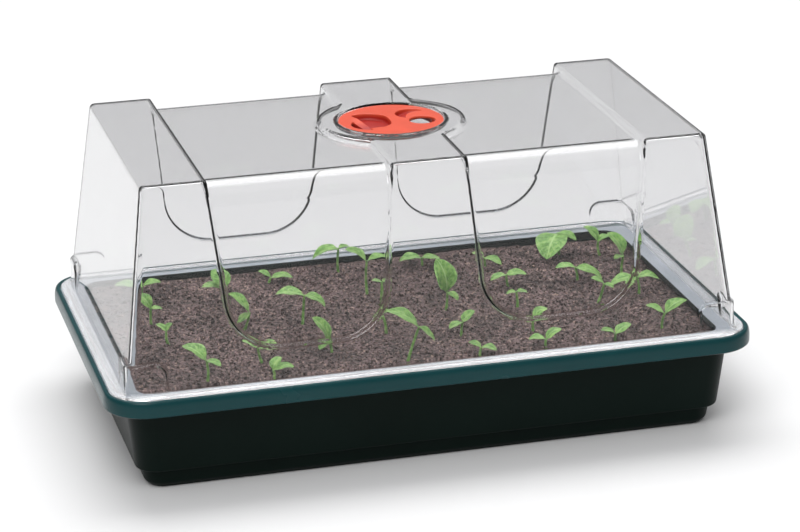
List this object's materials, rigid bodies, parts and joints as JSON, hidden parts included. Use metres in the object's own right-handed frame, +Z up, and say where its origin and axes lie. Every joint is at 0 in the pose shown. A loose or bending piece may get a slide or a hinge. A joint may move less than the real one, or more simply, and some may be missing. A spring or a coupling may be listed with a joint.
{
  "type": "seed propagator",
  "caption": "Deep green seed tray with a rolled rim, a clear lift-off dome with recessed panels and a turning roof vent, compost and young seedlings.",
  "frame": {"origin": "centre of the tray's foot, on the surface it stands on", "axes": "+X along the tray's length, +Y to its back, +Z up"},
  "size_m": [0.38, 0.224, 0.177],
  "materials": {
    "tray_plastic": "gloss",
    "dome_clear": "polished",
    "vent_plastic": "satin",
    "compost": "matte",
    "seedling": "satin"
  },
  "bodies": {
    "tray": {"seed_tray": "tray_plastic", "compost": "compost", "seedling_01": "seedling", "seedling_02": "seedling", "seedling_03": "seedling", "seedling_04": "seedling", "seedling_05": "seedling", "seedling_06": "seedling", "seedling_07": "seedling", "seedling_08": "seedling", "seedling_09": "seedling", "seedling_10": "seedling", "seedling_11": "seedling", "seedling_12": "seedling", "seedling_13": "seedling", "seedling_14": "seedling", "seedling_15": "seedling", "seedling_16": "seedling", "seedling_17": "seedling", "seedling_18": "seedling", "seedling_19": "seedling", "seedling_20": "seedling", "seedling_21": "seedling", "seedling_22": "seedling", "seedling_23": "seedling", "seedling_24": "seedling", "seedling_25": "seedling", "seedling_26": "seedling", "seedling_27": "seedling", "seedling_28": "seedling", "seedling_29": "seedling", "seedling_30": "seedling", "seedling_31": "seedling", "seedling_32": "seedling", "seedling_33": "seedling"},
    "lid": {"dome": "dome_clear"},
    "dial": {"vent_dial": "vent_plastic"}
  },
  "joints": [
    {"name": "lid_lift", "type": "slide", "parent": "tray", "child": "lid", "axis": [0, 0, 1], "range_m": [0, 0.2]},
    {"name": "vent_turn", "type": "hinge", "parent": "lid", "child": "dial", "pos_m": [0, 0, 0.174], "axis": [0, 0, 1], "range_deg": [0, 90]}
  ]
}
